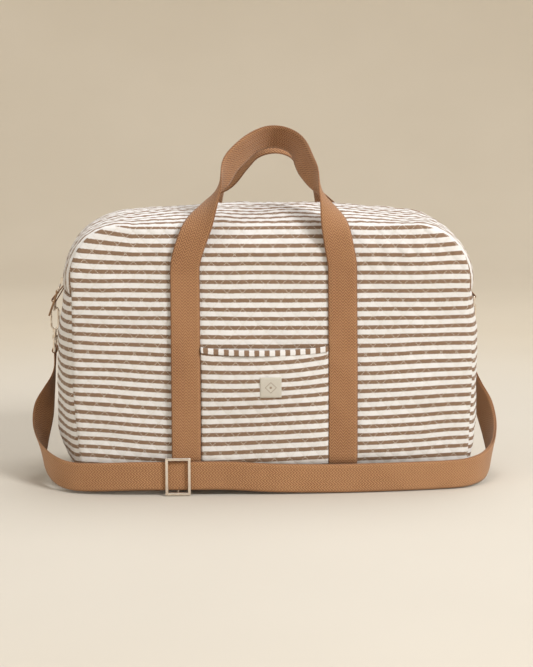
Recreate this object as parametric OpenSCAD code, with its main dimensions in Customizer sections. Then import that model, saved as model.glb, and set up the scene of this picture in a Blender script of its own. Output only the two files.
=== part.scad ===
// Weekender bag: quilted fabric shell, zipped top gusset, webbing carry handles and clip-on shoulder strap.
// Millimetres. +X to the right seen from the front, +Y to the back, +Z up.
// The origin is the centre of the underside of the base.

/* [Shell] */
// Half of the width between the two end seams
seam_half_w = 262; // [240:1:280]
// Height of the front and back seams along the top
seam_top = 345; // [330:1:360]
// Radius of the upper corners
top_corner_r = 80; // [70:1:90]
// Radius of the lower corners
base_corner_r = 28; // [22:1:34]
// Depth from seam to seam at the base
base_depth = 244; // [236:1:256]
// Depth from seam to seam along the top
top_depth = 214; // [206:1:226]
// How far the front and back panels belly out
panel_bulge = 24; // [18:1:26]
// How far the side panels belly out
side_bulge = 22; // [18:1:23]
// How far the gusset stands proud round the upper corners
corner_bulge = 13; // [11:1:15]
// How far the middle of the top stands proud
top_bulge = 24; // [20:1:28]
// Thickness of the quilted fabric
quilt_t = 4; // [3:0.5:4]

/* [Zip] */
// Height where the side panels end and the zip gusset begins
gusset_end_z = 257; // [250:1:260]
// Half of the gap between the two gusset strips
zip_gap_half = 9; // [8:0.5:11]
// Width of each zip tape
tape_w = 20; // [16:1:24]
// Angle of the slider up the left corner at rest
slider_angle = 2.5; // [2:0.5:6]
// Outward tilt of the hanging zip pull
pull_tilt = 20; // [18:1:26]

/* [Webbing] */
// Width of the handle and strap webbing
webbing_w = 38; // [36:1:40]
// Thickness of the handle webbing
handle_t = 3; // [2:0.5:3]
// Thickness of the shoulder strap
strap_t = 2.4; // [2:0.2:2.6]
// Distance between the two legs of a handle
handle_spacing = 204; // [190:1:210]
// Sideways offset of the front handle
handle_offset = -12; // [-14:1:0]
// Height where the sewn part of a handle leg ends
leg_top = 284; // [270:1:286]
// How much lower the crown of the back handle stands
back_drop = 8; // [0:1:12]
// How far the crown of the front handle leans to the right
crown_lean = 20; // [0:1:24]

/* [Pocket] */
// Height of the mouth of the slip pocket
pocket_h = 184; // [160:1:190]
// Side of the square label
label_side = 28; // [20:1:32]

/* [Hardware] */
// Distance of the D-rings from the middle of the bag
ring_x = 291; // [290.5:0.5:293]
// Set-back of the D-rings behind the middle of the side
ring_y = 27; // [26:0.5:30]
// Height of the straight bar of a D-ring
ring_z = 236; // [234:1:238]
// Radius of the wire of a D-ring
ring_wire = 1.75; // [1.5:0.05:1.8]

/* [Hidden] */
$fn = 48;

brown = [0.62, 0.50, 0.39];
cream = [0.93, 0.91, 0.88];
tan_web = [0.69, 0.49, 0.33];
nickel = [0.76, 0.70, 0.62];
hide = [0.60, 0.42, 0.30];

gap = 0.4;
corner_x = seam_half_w - top_corner_r;
corner_z = seam_top - top_corner_r;
base_x = seam_half_w - base_corner_r;
panel_cols = 20;

// ---- shape of the filled bag ----

function clamp01(t) = min(1, max(0, t));
function smooth(t) = let(c = clamp01(t)) c * c * (3 - 2 * c);
function mix(a, b, t) = a + (b - a) * t;

// Half width of the front outline at height z
function half_w(z) =
    z < base_corner_r ? base_x + sqrt(base_corner_r ^ 2 - (base_corner_r - z) ^ 2) :
    z > corner_z ? corner_x + sqrt(max(0, top_corner_r ^ 2 - (z - corner_z) ^ 2)) :
    seam_half_w;

// Half depth between the front and back seams at height z
function half_d(z) = mix(base_depth, top_depth, clamp01(z / seam_top)) / 2;

// How far the front stands out of its seam plane at x, z
function belly(x, z) =
    let(u = x / half_w(z))
    panel_bulge * (1 - u * u) * smooth(z / 50) * (1 - 0.45 * smooth((z - 130) / 180))
    * smooth((seam_top - z) / 35);

// Distance of the outer face of the front (or back) panel from the middle plane
function face_y(x, z) = half_d(z) + belly(x, z);

function side_out(z) =
    side_bulge * smooth(z / 75) - (side_bulge - corner_bulge) * smooth((z - 195) / (corner_z - 195));

// Stations round the outline: [x, z, normal x, normal z, how far the middle stands out]
function base_arc(a) = let(z = base_corner_r * (1 + sin(a)))
    [base_x + base_corner_r * cos(a), z, cos(a), sin(a), side_out(z)];
function side_at(z) = [seam_half_w, z, 1, 0, side_out(z)];
function corner_at(a) =
    [corner_x + top_corner_r * cos(a), corner_z + top_corner_r * sin(a), cos(a), sin(a), corner_bulge];
function top_at(x) = [x, seam_top, 0, 1, mix(top_bulge, corner_bulge, (x / corner_x) ^ 2)];
function mirrored(s) = [-s[0], s[1], -s[2], s[3], s[4]];

// Point of the gusset at station s, at depth y, off millimetres outside its outer face
function gusset_point(s, y, off) =
    let(d = half_d(s[1]), r = s[4] * (1 - (y / d) ^ 2) + off)
    [s[0] + s[2] * r, y, s[1] + s[3] * r];

// ---- sheets: closed solids between two grids of points ----

module sheet(outer, inner) {
    rows = len(outer);
    cols = len(outer[0]);
    pts = [for (g = [outer, inner]) for (row = g) for (p = row) p];
    base = rows * cols;
    skin = [for (i = [0:rows - 2]) for (j = [0:cols - 2])
        let(a = i * cols + j, b = a + cols, c = b + 1, d = a + 1)
        each [[a, b, c], [a, c, d], [base + a, base + c, base + b], [base + a, base + d, base + c]]];
    ends = [for (i = [0:rows - 2])
        let(a = i * cols, b = a + cols, d = a + cols - 1, c = d + cols)
        each [[b, a, base + a], [b, base + a, base + b], [d, c, base + c], [d, base + c, base + d]]];
    last = (rows - 1) * cols;
    rims = [for (j = [0:cols - 2])
        let(a = j, d = j + 1, b = last + j, c = b + 1)
        each [[c, b, base + b], [c, base + b, base + c], [a, d, base + d], [a, base + d, base + a]]];
    polyhedron(points = pts, faces = concat(skin, ends, rims));
}

// A ribbon along a path: each frame is [centre, half width vector, half thickness vector]
module ribbon(frames) {
    n = len(frames);
    pts = [for (f = frames) each [f[0] - f[1] - f[2], f[0] + f[1] - f[2], f[0] + f[1] + f[2], f[0] - f[1] + f[2]]];
    sides = [for (i = [0:n - 2]) for (k = [0:3])
        let(a = 4 * i + k, b = 4 * i + (k + 1) % 4)
        each [[a, b, b + 4], [a, b + 4, a + 4]]];
    e = 4 * (n - 1);
    polyhedron(points = pts, faces = concat(sides, [[2, 1, 0], [3, 2, 0], [e, e + 1, e + 2], [e, e + 2, e + 3]]));
}

function unit(v) = v / norm(v);

// Catmull-Rom point on the list p between p[i] and p[i + 1]
function spline_at(p, i, t) =
    let(n = len(p) - 1, a = p[max(0, i - 1)], b = p[i], c = p[min(n, i + 1)], d = p[min(n, i + 2)])
    (2 * b + (c - a) * t + (2 * a - 5 * b + 4 * c - d) * t ^ 2 + (3 * b - a - 3 * c + d) * t ^ 3) / 2;
function spline(p, steps) =
    [for (i = [0:len(p) - 2]) for (k = [0:steps - 1]) spline_at(p, i, k / steps), p[len(p) - 1]];

// Frames of a ribbon w wide and t thick, along path, with its width near the directions in across
function frames_of(path, across, w, t) =
    [for (i = [0:len(path) - 1])
        let(tangent = unit(path[min(len(path) - 1, i + 1)] - path[max(0, i - 1)]),
            flat = across[i] - (across[i] * tangent) * tangent,
            side = unit(flat))
        [path[i], side * w / 2, cross(tangent, side) * t / 2]];

// ---- shell ----

panel_rows = concat(
    [for (a = [0:18:90]) base_corner_r * (1 - cos(a))],
    [for (k = [1:9]) mix(base_corner_r, corner_z, k / 10)],
    [for (a = [0:15:90]) corner_z + top_corner_r * sin(a)]);

module face_panel() {
    function grid(inset) = [for (z = panel_rows) [for (j = [0:panel_cols])
        let(x = half_w(z) * (2 * j / panel_cols - 1)) [x, inset - face_y(x, z), z]]];
    sheet(grid(0), grid(quilt_t));
}

module front_panel() color(cream) face_panel();

module back_panel() color(cream) rotate([0, 0, 180]) face_panel();

side_stations = concat(
    [for (a = [-90:18:-1]) base_arc(a)],
    [for (k = [0:11]) side_at(mix(base_corner_r, gusset_end_z - gap / 2, k / 11))]);

// A strip of the gusset between two depths, given as functions of the half depth at each station
module gusset_strip(stations, y0, y1, edge, cols, top, bottom) {
    function y_of(s, j) =
        let(d = half_d(s[1]) - edge, lo = max(y0, -d), hi = min(y1, d)) mix(lo, hi, j / cols);
    function grid(off) = [for (s = stations) [for (j = [0:cols]) gusset_point(s, y_of(s, j), off)]];
    sheet(grid(top), grid(bottom));
}

far = 500;
shell_edge = quilt_t + gap;

module side_panel() gusset_strip(side_stations, -far, far, shell_edge, 10, 0, -quilt_t);

module right_side_panel() color(brown) side_panel();

module left_side_panel() color(brown) rotate([0, 0, 180]) side_panel();

module bottom_panel() color(brown)
    translate([-base_x + gap, -base_depth / 2 + shell_edge, 0])
        cube([2 * (base_x - gap), base_depth - 2 * shell_edge, quilt_t]);

// Stations of the zip gusset, from the right end over the top to the left end
function over_top(z_end) = concat(
    [side_at(z_end), side_at((z_end + corner_z) / 2)],
    [for (a = [0:9:81]) corner_at(a)],
    [for (k = [0:12]) top_at(mix(corner_x, -corner_x, k / 12))],
    [for (a = [81:-9:0]) mirrored(corner_at(a))],
    [mirrored(side_at((z_end + corner_z) / 2)), mirrored(side_at(z_end))]);

gusset_stations = over_top(gusset_end_z + gap / 2);
zip_stations = over_top(gusset_end_z + 4);

module gusset_side() gusset_strip(gusset_stations, -far, -zip_gap_half, shell_edge, 6, 0, -quilt_t);

module zip_gusset_front() color(cream) gusset_side();

module zip_gusset_back() color(cream) rotate([0, 0, 180]) gusset_side();

// ---- zip ----

tape_top = -quilt_t - 0.5;
tape_t = 1;
coil_half = 2.9;
coil_gap_half = 0.8;
coil_top = -2;
coil_bottom = -6.2;

module tape() gusset_strip(zip_stations, -coil_half - gap - tape_w, -coil_half - gap, shell_edge, 3,
    tape_top, tape_top - tape_t);

module coil() gusset_strip(zip_stations, -coil_half, -coil_gap_half, shell_edge, 1, coil_top, coil_bottom);

module zip_tape_front() color(hide) tape();

module zip_tape_back() color(hide) rotate([0, 0, 180]) tape();

module zip_coil_front() color(hide) coil();

module zip_coil_back() color(hide) rotate([0, 0, 180]) coil();

// One stop across both coils at each end of the zip
module zip_end_stops() color(nickel)
    for (turn = [0, 180]) rotate([0, 0, turn])
        gusset_strip([side_at(gusset_end_z + 1), side_at(gusset_end_z + 3.6)], -4, 4, shell_edge, 2,
            -1.5, coil_bottom);

// Puts its children on the zip at the rest place of the slider: -X outwards, +Z up the zip, y = 0 mid zip
slider_r = top_corner_r + corner_bulge;
module at_slider() translate([-corner_x, 0, corner_z]) rotate([0, slider_angle, 0])
    translate([-slider_r, 0, 0]) children();

slider_len = 11;
slider_half_w = 4.6;
plate_t = 1.4;
bar_out = 3.4;
bar_down = 2;
bar_r = 0.9;

module zip_slider() color(nickel) at_slider() {
    translate([-0.6, -slider_half_w, -slider_len / 2]) cube([plate_t, 2 * slider_half_w, slider_len]);
    translate([7, -slider_half_w, -slider_len / 2]) cube([plate_t, 2 * slider_half_w, slider_len]);
    translate([0, -0.5, -2.5]) cube([7.5, 1, 6]);
    for (y = [-3.6, 2.6]) translate([0, y, -bar_down]) rotate([-90, 0, 0]) linear_extrude(1)
        union() {
            translate([-bar_out, 0]) circle(1.7);
            translate([-bar_out, -1.7]) square([bar_out, 3.4]);
        }
    translate([-bar_out, -3.2, -bar_down]) rotate([-90, 0, 0]) cylinder(r = bar_r, h = 6.4);
}

// Puts its children on the bar of the slider, hanging with -Z down the tilted pull
module at_pull() at_slider() translate([-bar_out, 0, -bar_down])
    rotate([0, pull_tilt - slider_angle, 0]) children();

eye_r = 1;
eye_wall = 0.9;
pull_ring_r = 5.5;
pull_wire = 1.1;
pull_ring_z = -13;

module zip_pull_ring() color(nickel) at_pull() {
    difference() {
        union() {
            rotate([-90, 0, 0]) cylinder(r = eye_r + eye_wall, h = 4, center = true);
            translate([-0.8, -1.4, -7.5]) cube([1.6, 2.8, 6.5]);
        }
        rotate([-90, 0, 0]) cylinder(r = eye_r, h = 10, center = true);
    }
    translate([0, 0, pull_ring_z]) rotate([0, 90, 0]) rotate_extrude()
        translate([pull_ring_r, 0]) circle(pull_wire, $fn = 24);
}

tab_w = 10;
tab_len = 36;
tab_z = pull_ring_z - pull_ring_r;

// Leather tab folded round the bottom of the ring: the fold is a sleeve, the tail is both layers sewn flat
module zip_pull_tab() color(hide) at_pull() {
    translate([0, 0, tab_z]) difference() {
        union() {
            rotate([90, 0, 0]) cylinder(r = 2.6, h = 5.4, center = true);
            translate([-1.3, -tab_w / 2, -tab_len]) cube([2.6, tab_w, tab_len - 3.2]);
            translate([-1.3, -2.7, -3.4]) cube([2.6, 5.4, 3.4]);
        }
        translate([0, 0, pull_ring_r]) rotate([0, 90, 0]) rotate_extrude()
            translate([pull_ring_r, 0]) circle(pull_wire + 0.15, $fn = 24);
    }
}

// ---- pocket and label ----

leg_l = handle_offset - handle_spacing / 2;
leg_r = handle_offset + handle_spacing / 2;
pocket_x0 = leg_l + webbing_w / 2 + gap;
pocket_x1 = leg_r - webbing_w / 2 - gap;
pocket_t = 3;

// How far the pocket hangs off the front panel: flat at the seams, loose at the mouth
function pocket_off(x, z) =
    let(u = (x - pocket_x0) / (pocket_x1 - pocket_x0))
    gap + 5 * smooth(z / pocket_h) * 4 * u * (1 - u);

module on_front(x0, x1, z0, z1, cols, rows, off, t) {
    function grid(extra) = [for (i = [0:rows]) let(z = mix(z0, z1, i / rows))
        [for (j = [0:cols]) let(x = mix(x0, x1, j / cols))
            [x, -face_y(x, z) - pocket_off(x, z) - off - extra, z]]];
    sheet(grid(t), grid(0));
}

module front_pocket() color(cream)
    on_front(pocket_x0, pocket_x1, 8, pocket_h, 12, 12, 0, pocket_t);

module pocket_binding() color(brown)
    on_front(pocket_x0, pocket_x1, pocket_h + gap, pocket_h + 7, 12, 1, -0.2, pocket_t + 1);

label_x = -5;
label_z = 142;
module pocket_label() color(cream)
    on_front(label_x - label_side / 2, label_x + label_side / 2, label_z - label_side / 2,
        label_z + label_side / 2, 4, 4, pocket_t + 0.1, 1);

// ---- inside ----

lining_in = 6;
lining_t = 1.6;
lining_base = quilt_t + 4;
lining_top = seam_top - 20;
corner_steps = 5;

// A ring of points at height z, inset from the seams
function lining_ring(z, inset) =
    let(w = half_w(z) - inset, d = half_d(z) - inset, r = 22)
    [for (q = [0:3]) for (k = [0:corner_steps])
        let(a = 90 * (q + k / corner_steps),
            cx = (q == 0 || q == 3 ? 1 : -1) * (w - r),
            cy = (q < 2 ? 1 : -1) * (d - r))
        [cx + r * cos(a), cy + r * sin(a), z]];

// Open-topped inner bag
module lining() {
    levels = [lining_base, 14, 22, 35, 90, 160, 230, 265, 290, 310, lining_top];
    inner_levels = [lining_base + lining_t, 14, 22, 35, 90, 160, 230, 265, 290, 310, lining_top];
    rings = concat([for (z = levels) lining_ring(z, lining_in)],
        [for (k = [len(levels) - 1:-1:0]) lining_ring(inner_levels[k], lining_in + lining_t)]);
    n = 4 * (corner_steps + 1);
    walls = [for (i = [0:len(rings) - 2]) for (k = [0:n - 1])
        let(a = i * n + k, b = i * n + (k + 1) % n)
        each [[a, a + n, b + n], [a, b + n, b]]];
    last = (len(rings) - 1) * n;
    color(cream) polyhedron(points = [for (r = rings) each r],
        faces = concat(walls, [[for (k = [0:n - 1]) k]], [[for (k = [n - 1:-1:0]) last + k]]));
}

board_edge = 14;
module base_board() color(hide)
    translate([-base_x + board_edge, -base_depth / 2 + board_edge, quilt_t + 0.3])
        cube([2 * (base_x - board_edge), base_depth - 2 * board_edge, 3]);

// ---- carry handles ----

leg_off = handle_t / 2 + 0.5;

// Sewn leg of a handle on the front, at x
module sewn_leg(x) {
    path = [for (k = [0:16]) let(z = mix(8, leg_top, k / 16)) [x, -face_y(x, z) - leg_off - 0.9, z]];
    ribbon(frames_of(path, [for (p = path) [1, 0, 0]], webbing_w, handle_t));
}

module handle_legs() for (x = [leg_l, leg_r]) sewn_leg(x);

module front_handle_legs() color(tan_web) handle_legs();

module back_handle_legs() color(tan_web) rotate([0, 0, 180]) handle_legs();

// Half of the free arch of a handle, from the right leg to the crown; x is counted from the handle's middle.
// The outer edge of the leg turns inwards over the bag on the way up and becomes the lower edge at the crown.
arch_half = [
    [102, -124.5, leg_top + 2.5], [101, -125.3, 301], [95.5, -125.3, 324], [88, -122, 348], [75, -109, 378],
    [59, -86, 407], [42, -56, 435], [23, -27, 453], [0, -16, 459]];
arch_half_across = [
    [1, 0, 0], [1, 0, 0], [1, 0.05, 0], [0.95, 0.3, 0], [0.4, 0.92, 0],
    [-0.4, 0.9, -0.1], [-0.45, 0.75, -0.45], [-0.15, 0.66, -0.72], [0, 0.62, -0.78]];

function flip_path(p) = [for (i = [len(p) - 1:-1:0]) [-p[i][0], p[i][1], p[i][2]]];
function drop_first(p) = [for (i = [1:len(p) - 1]) p[i]];

arch = spline(concat(arch_half, drop_first(flip_path(arch_half))), 4);
arch_across = spline(concat(arch_half_across, drop_first(flip_path(arch_half_across))), 4);

// The arch with its crown lower by drop and further along X by lean, half of it in the last of the height
function leaning(z) = 0.45 * smooth((z - 300) / 110) + 0.55 * smooth((z - 420) / 39);
function settled(drop, lean) =
    [for (p = arch) [p[0] + lean * leaning(p[2]), p[1], p[2] - drop * smooth((p[2] - 300) / 160)]];

module handle(drop, lean) translate([handle_offset, 0, 0])
    ribbon(frames_of(settled(drop, lean), arch_across, webbing_w, handle_t));

module front_handle() color(tan_web) handle(0, crown_lean);

module back_handle() color(tan_web) rotate([0, 0, 180]) handle(back_drop, 0);

// ---- D-rings and their tabs ----

d_half = 14.5;

// Both sides: children are drawn for the right side, then mirrored for the left
module on_right() children();
module on_left() mirror([1, 0, 0]) children();

module d_ring() color(nickel) translate([ring_x, ring_y, ring_z]) {
    rotate([-90, 0, 0]) cylinder(r = ring_wire, h = 2 * d_half, center = true);
    rotate([0, -90, 0]) rotate([0, 0, 90]) rotate_extrude(angle = 180)
        translate([d_half, 0]) circle(ring_wire, $fn = 32);
    for (y = [-d_half, d_half]) translate([0, y, 0]) sphere(ring_wire);
}

tab_half = 11.5;
tab_inner = ring_wire + 0.35;
tab_outer = tab_inner + 1.6;

// Webbing tab folded round the bar of the D-ring, its two layers running up into the seam
module ring_tab() color(tan_web)
    translate([ring_x, ring_y + tab_half, ring_z]) rotate([90, 0, 0]) linear_extrude(2 * tab_half)
        difference() {
            union() {
                circle(tab_outer);
                polygon([[-tab_outer * 0.75, -tab_outer * 0.66], [tab_outer * 0.75, tab_outer * 0.66],
                    [-13.2, 20.2], [-15.4, 18.6]]);
            }
            circle(tab_inner);
        }

module left_d_ring() on_left() d_ring();
module right_d_ring() on_right() d_ring();
module left_ring_tab() on_left() ring_tab();
module right_ring_tab() on_right() ring_tab();

// ---- swivel hooks ----

hook_r = 5;
hook_wire = 1.5;
hook_z1 = ring_z - d_half - (hook_r - hook_wire - ring_wire - 0.25);
hook_len = 20;
hook_z0 = hook_z1 - hook_len;
neck_top = hook_z0 - hook_r - hook_wire + 0.5;
loop_z = neck_top - 10;
post_r = 1.9;
boss_r = 4;
boss_h = 5;
gate_gap = 0.8;

// Wire hook in the XZ plane, its back inwards; the outward side is closed by the gate
module hook() color(nickel) translate([ring_x, ring_y, 0]) {
    translate([0, 0, hook_z1]) rotate([90, 0, 0]) rotate_extrude(angle = 180)
        translate([hook_r, 0]) circle(hook_wire, $fn = 24);
    translate([0, 0, hook_z0]) rotate([-90, 0, 0]) rotate_extrude(angle = 180)
        translate([hook_r, 0]) circle(hook_wire, $fn = 24);
    translate([-hook_r, 0, hook_z0]) cylinder(r = hook_wire, h = hook_len, $fn = 24);
    translate([hook_r, 0, hook_z0]) cylinder(r = hook_wire, h = 4, $fn = 24);
    translate([0, 0, neck_top - 3.4]) cylinder(r = 3.2, h = 4.2);
    translate([0, 0, loop_z - boss_h / 2 - 1.5]) cylinder(r = post_r, h = neck_top - loop_z + 3);
    translate([0, 0, loop_z - boss_h / 2 - 2.2]) cylinder(r = 3, h = 1.8);
}

// Sprung gate on the outward side, hinged at its lower end
module hook_gate() color(nickel) translate([ring_x + hook_r, ring_y, hook_z0 + 4 + gate_gap]) {
    cylinder(r = hook_wire - 0.2, h = hook_len - 4 - 2 * gate_gap, $fn = 24);
}

loop_half = webbing_w / 2 + 2.5;
loop_drop = 17;
loop_wire = 1.75;
loop_low = loop_z - loop_drop;

// Rectangular loop for the strap, with the bored boss that the hook's post turns in
module strap_loop() color(nickel) translate([ring_x, ring_y, 0])
    difference() {
        union() {
            translate([0, 0, loop_z]) cylinder(r = boss_r, h = boss_h, center = true);
            for (z = [loop_z, loop_low]) translate([0, 0, z]) rotate([-90, 0, 0])
                cylinder(r = loop_wire, h = 2 * loop_half, center = true);
            for (y = [-loop_half, loop_half]) {
                translate([0, y, loop_low]) cylinder(r = loop_wire, h = loop_drop);
                for (z = [loop_z, loop_low]) translate([0, y, z]) sphere(loop_wire);
            }
        }
        translate([0, 0, loop_z]) cylinder(r = post_r + 0.1, h = 30, center = true);
    }

module left_hook() on_left() hook();
module right_hook() on_right() hook();
module left_hook_gate() on_left() hook_gate();
module right_hook_gate() on_right() hook_gate();
module left_strap_loop() on_left() strap_loop();
module right_strap_loop() on_right() strap_loop();

// ---- shoulder strap ----

end_inner = loop_wire + 0.3;
end_outer = end_inner + 2;

// Fold of the strap round the low bar of its loop
module strap_end() color(tan_web) translate([ring_x, ring_y, loop_low]) rotate([-90, 0, 0])
    difference() {
        cylinder(r = end_outer, h = webbing_w - 1, center = true);
        cylinder(r = end_inner, h = webbing_w + 1, center = true);
    }

module left_strap_end() on_left() strap_end();
module right_strap_end() on_right() strap_end();

strap_low = webbing_w / 2 + 1;
slider_line_z = webbing_w / 2 + 6.5;

// Route of the strap from the right loop round the front to the left loop, with the direction of its width
strap_top = loop_low - end_outer - 0.3;
strap_route = [
    [ring_x, ring_y, strap_top], [292.5, ring_y, 140], [299, 24, 112], [308, 10, 82], [311, -20, 54],
    [304, -64, 34], [288, -102, 25], [267, -126, 21.5], [238, -138.5, strap_low], [160, -149, strap_low],
    [80, -153, strap_low], [0, -154, 22], [-60, -152, slider_line_z], [-120, -149.5, slider_line_z],
    [-180, -147, slider_line_z], [-236, -138, 23], [-266, -126, 23], [-288, -100, 27], [-305, -58, 37],
    [-310, -18, 56], [-307, 10, 84], [-299, 24, 113], [-292.5, ring_y, 140], [-ring_x, ring_y, strap_top]];
strap_across = [
    [0, 1, 0], [0, 1, 0], [-0.2, 1, -0.2], [-0.45, 0.9, -0.5], [-0.35, 0.7, -0.9],
    [-0.1, 0.4, -1], [0, 0.1, -1], [0, 0, -1], [0, 0, -1], [0, 0, -1],
    [0, 0, -1], [0, 0, -1], [0, 0, -1], [0, 0, -1],
    [0, 0, -1], [0, 0, -1], [0, 0, -1], [0, 0.1, -1], [0.15, 0.35, -1],
    [0.55, 0.55, -0.8], [0.7, 0.7, -0.35], [0.35, 0.95, -0.1], [0, 1, 0], [0, 1, 0]];

strap_path = spline(strap_route, 4);
strap_side = spline(strap_across, 4);

module shoulder_strap() color(tan_web)
    ribbon(frames_of(strap_path, strap_side, webbing_w, strap_t));

// ---- strap slider ----

frame_w = 33.5;
frame_h = 50;
frame_wire = 2.2;
slider_x = -125;
slider_slope = -5 / 120;
bar_front = strap_t / 2 + frame_wire + 0.8;

// Wire frame in front of the strap, with its middle bar behind the strap
module strap_slider() color(nickel) translate([slider_x, -149.3, slider_line_z])
    rotate([0, 0, atan(slider_slope)]) {
        for (x = [-1, 1]) translate([x * (frame_w / 2 - frame_wire), -bar_front, 0])
            cylinder(r = frame_wire, h = frame_h - 2 * frame_wire, center = true);
        for (z = [-1, 1]) {
            translate([0, -bar_front, z * (frame_h / 2 - frame_wire)]) rotate([0, 90, 0])
                cylinder(r = frame_wire, h = frame_w - 2 * frame_wire, center = true);
            for (x = [-1, 1])
                translate([x * (frame_w / 2 - frame_wire), -bar_front, z * (frame_h / 2 - frame_wire)])
                    sphere(frame_wire);
            translate([0, -bar_front, z * (frame_h / 2 - frame_wire)]) rotate([-90, 0, 0])
                cylinder(r = 1.4, h = 2 * bar_front - 0.8);
        }
        translate([0, bar_front - 0.8, 0])
            cylinder(r = 1.4, h = frame_h - 2 * frame_wire, center = true);
    }

front_panel();
back_panel();
left_side_panel();
right_side_panel();
bottom_panel();
zip_gusset_front();
zip_gusset_back();
zip_tape_front();
zip_tape_back();
zip_coil_front();
zip_coil_back();
zip_end_stops();
zip_slider();
zip_pull_ring();
zip_pull_tab();
front_pocket();
pocket_binding();
pocket_label();
lining();
base_board();
front_handle_legs();
back_handle_legs();
front_handle();
back_handle();
left_ring_tab();
right_ring_tab();
left_d_ring();
right_d_ring();
left_hook();
right_hook();
left_hook_gate();
right_hook_gate();
left_strap_loop();
right_strap_loop();
left_strap_end();
right_strap_end();
shoulder_strap();
strap_slider();
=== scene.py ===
"""Weekender bag: the quilted shell, webbing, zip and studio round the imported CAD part.

Lengths are millimetres until a mesh is made. The row frame is kept: +X right, +Y back, +Z up.
"""

import bmesh
import bpy
import numpy as np
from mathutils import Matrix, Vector


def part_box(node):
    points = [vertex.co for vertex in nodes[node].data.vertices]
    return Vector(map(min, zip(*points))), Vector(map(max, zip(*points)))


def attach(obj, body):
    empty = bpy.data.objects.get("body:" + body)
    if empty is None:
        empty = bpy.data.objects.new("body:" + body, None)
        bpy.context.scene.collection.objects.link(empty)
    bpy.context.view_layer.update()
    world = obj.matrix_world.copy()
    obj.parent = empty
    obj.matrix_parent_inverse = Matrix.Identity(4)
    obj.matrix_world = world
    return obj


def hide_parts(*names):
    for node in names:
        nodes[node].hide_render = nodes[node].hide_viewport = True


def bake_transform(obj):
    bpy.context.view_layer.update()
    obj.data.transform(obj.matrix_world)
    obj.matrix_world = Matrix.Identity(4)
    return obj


MM = 0.001

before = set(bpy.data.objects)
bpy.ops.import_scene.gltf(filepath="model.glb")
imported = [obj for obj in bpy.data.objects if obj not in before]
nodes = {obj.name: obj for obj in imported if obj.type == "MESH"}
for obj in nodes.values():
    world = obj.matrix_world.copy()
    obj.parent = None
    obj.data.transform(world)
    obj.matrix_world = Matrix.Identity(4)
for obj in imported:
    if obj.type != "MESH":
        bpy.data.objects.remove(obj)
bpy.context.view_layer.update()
scene = bpy.context.scene

# ---- camera ----

TARGET = Vector((0, 0, 0.1895))
camera_data = bpy.data.cameras.new("camera")
camera_data.lens = 85
camera = bpy.data.objects.new("camera", camera_data)
camera.location = (-0.1499, -2.1436, 0.4915)
camera.rotation_euler = (TARGET - camera.location).to_track_quat("-Z", "Y").to_euler()
scene.collection.objects.link(camera)
scene.camera = camera


# ---- sizes, from the CAD nodes where they show ----


def box_mm(node):
    low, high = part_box(node)
    return np.array(low) / MM, np.array(high) / MM


panel_high = box_mm("front_panel")[1]
bottom_high = box_mm("bottom_panel")[1]
side_high = box_mm("right_side_panel")[1]
pocket_low, pocket_high = box_mm("front_pocket")
binding_low, binding_high = box_mm("pocket_binding")
label_low, label_high = box_mm("pocket_label")
legs_low, legs_high = box_mm("front_handle_legs")

SEAM_HALF_W = panel_high[0]
SEAM_TOP = panel_high[2]
SHELL_EDGE = 4.4
BASE_HALF_D = bottom_high[1] + SHELL_EDGE
TOP_HALF_D = 107.0
TOP_R = 80.0
BASE_R = 28.0
CORNER_X = SEAM_HALF_W - TOP_R
CORNER_Z = SEAM_TOP - TOP_R
BASE_X = SEAM_HALF_W - BASE_R
GUSSET_END = side_high[2] + 0.2
ZIP_HALF = 9.0
PANEL_BULGE = 24.0
SIDE_BULGE = 22.0
CORNER_BULGE = 13.0
TOP_BULGE = 24.0
QUILT_T = 3.4
WEBBING_W = 38.0
HANDLE_T = 2.6
STRAP_T = 2.0
LEG_TOP = legs_high[2]
HANDLE_X = (legs_low[0] + legs_high[0]) / 2
LEG_X = (legs_high[0] - legs_low[0] - WEBBING_W) / 2
CELL = 2.6


def clamp01(t):
    return np.clip(t, 0.0, 1.0)


def smooth(t):
    c = clamp01(t)
    return c * c * (3 - 2 * c)


def mix(a, b, t):
    return a + (b - a) * t


def half_w(z):
    z = np.asarray(z, float)
    low = BASE_X + np.sqrt(np.maximum(BASE_R**2 - (BASE_R - z) ** 2, 0))
    high = CORNER_X + np.sqrt(np.maximum(TOP_R**2 - (z - CORNER_Z) ** 2, 0))
    return np.where(z < BASE_R, low, np.where(z > CORNER_Z, high, SEAM_HALF_W))


def half_d(z):
    return mix(BASE_HALF_D, TOP_HALF_D, clamp01(np.asarray(z, float) / SEAM_TOP))


def belly(x, z):
    u = np.clip(x / half_w(z), -1, 1)
    rise = smooth(z / 50) * (1 - 0.45 * smooth((z - 130) / 180)) * smooth((SEAM_TOP - z) / 35)
    return PANEL_BULGE * (1 - u * u) * rise


def face_y(x, z):
    return half_d(z) + belly(x, z)


def side_out(z):
    fall = smooth((z - 195) / (CORNER_Z - 195))
    return SIDE_BULGE * smooth(z / 75) - (SIDE_BULGE - CORNER_BULGE) * fall


# ---- cloth surface: quilting, seams and wrinkles ----

DIAMOND = 20.0
PUFF = 0.65


def ripple(u, v, seed, length, stretch=1.0):
    """Smooth seeded unevenness of about +-1, with waves near length millimetres."""
    rng = np.random.default_rng(seed)
    total = np.zeros(np.broadcast(u, v).shape)
    for _ in range(7):
        angle = rng.uniform(0, 2 * np.pi)
        phase = rng.uniform(0, 2 * np.pi)
        wave = length * rng.uniform(0.6, 1.6)
        total = total + np.sin((u * np.cos(angle) / stretch + v * np.sin(angle)) * 2 * np.pi / wave + phase)
    return total / 3.2


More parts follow.
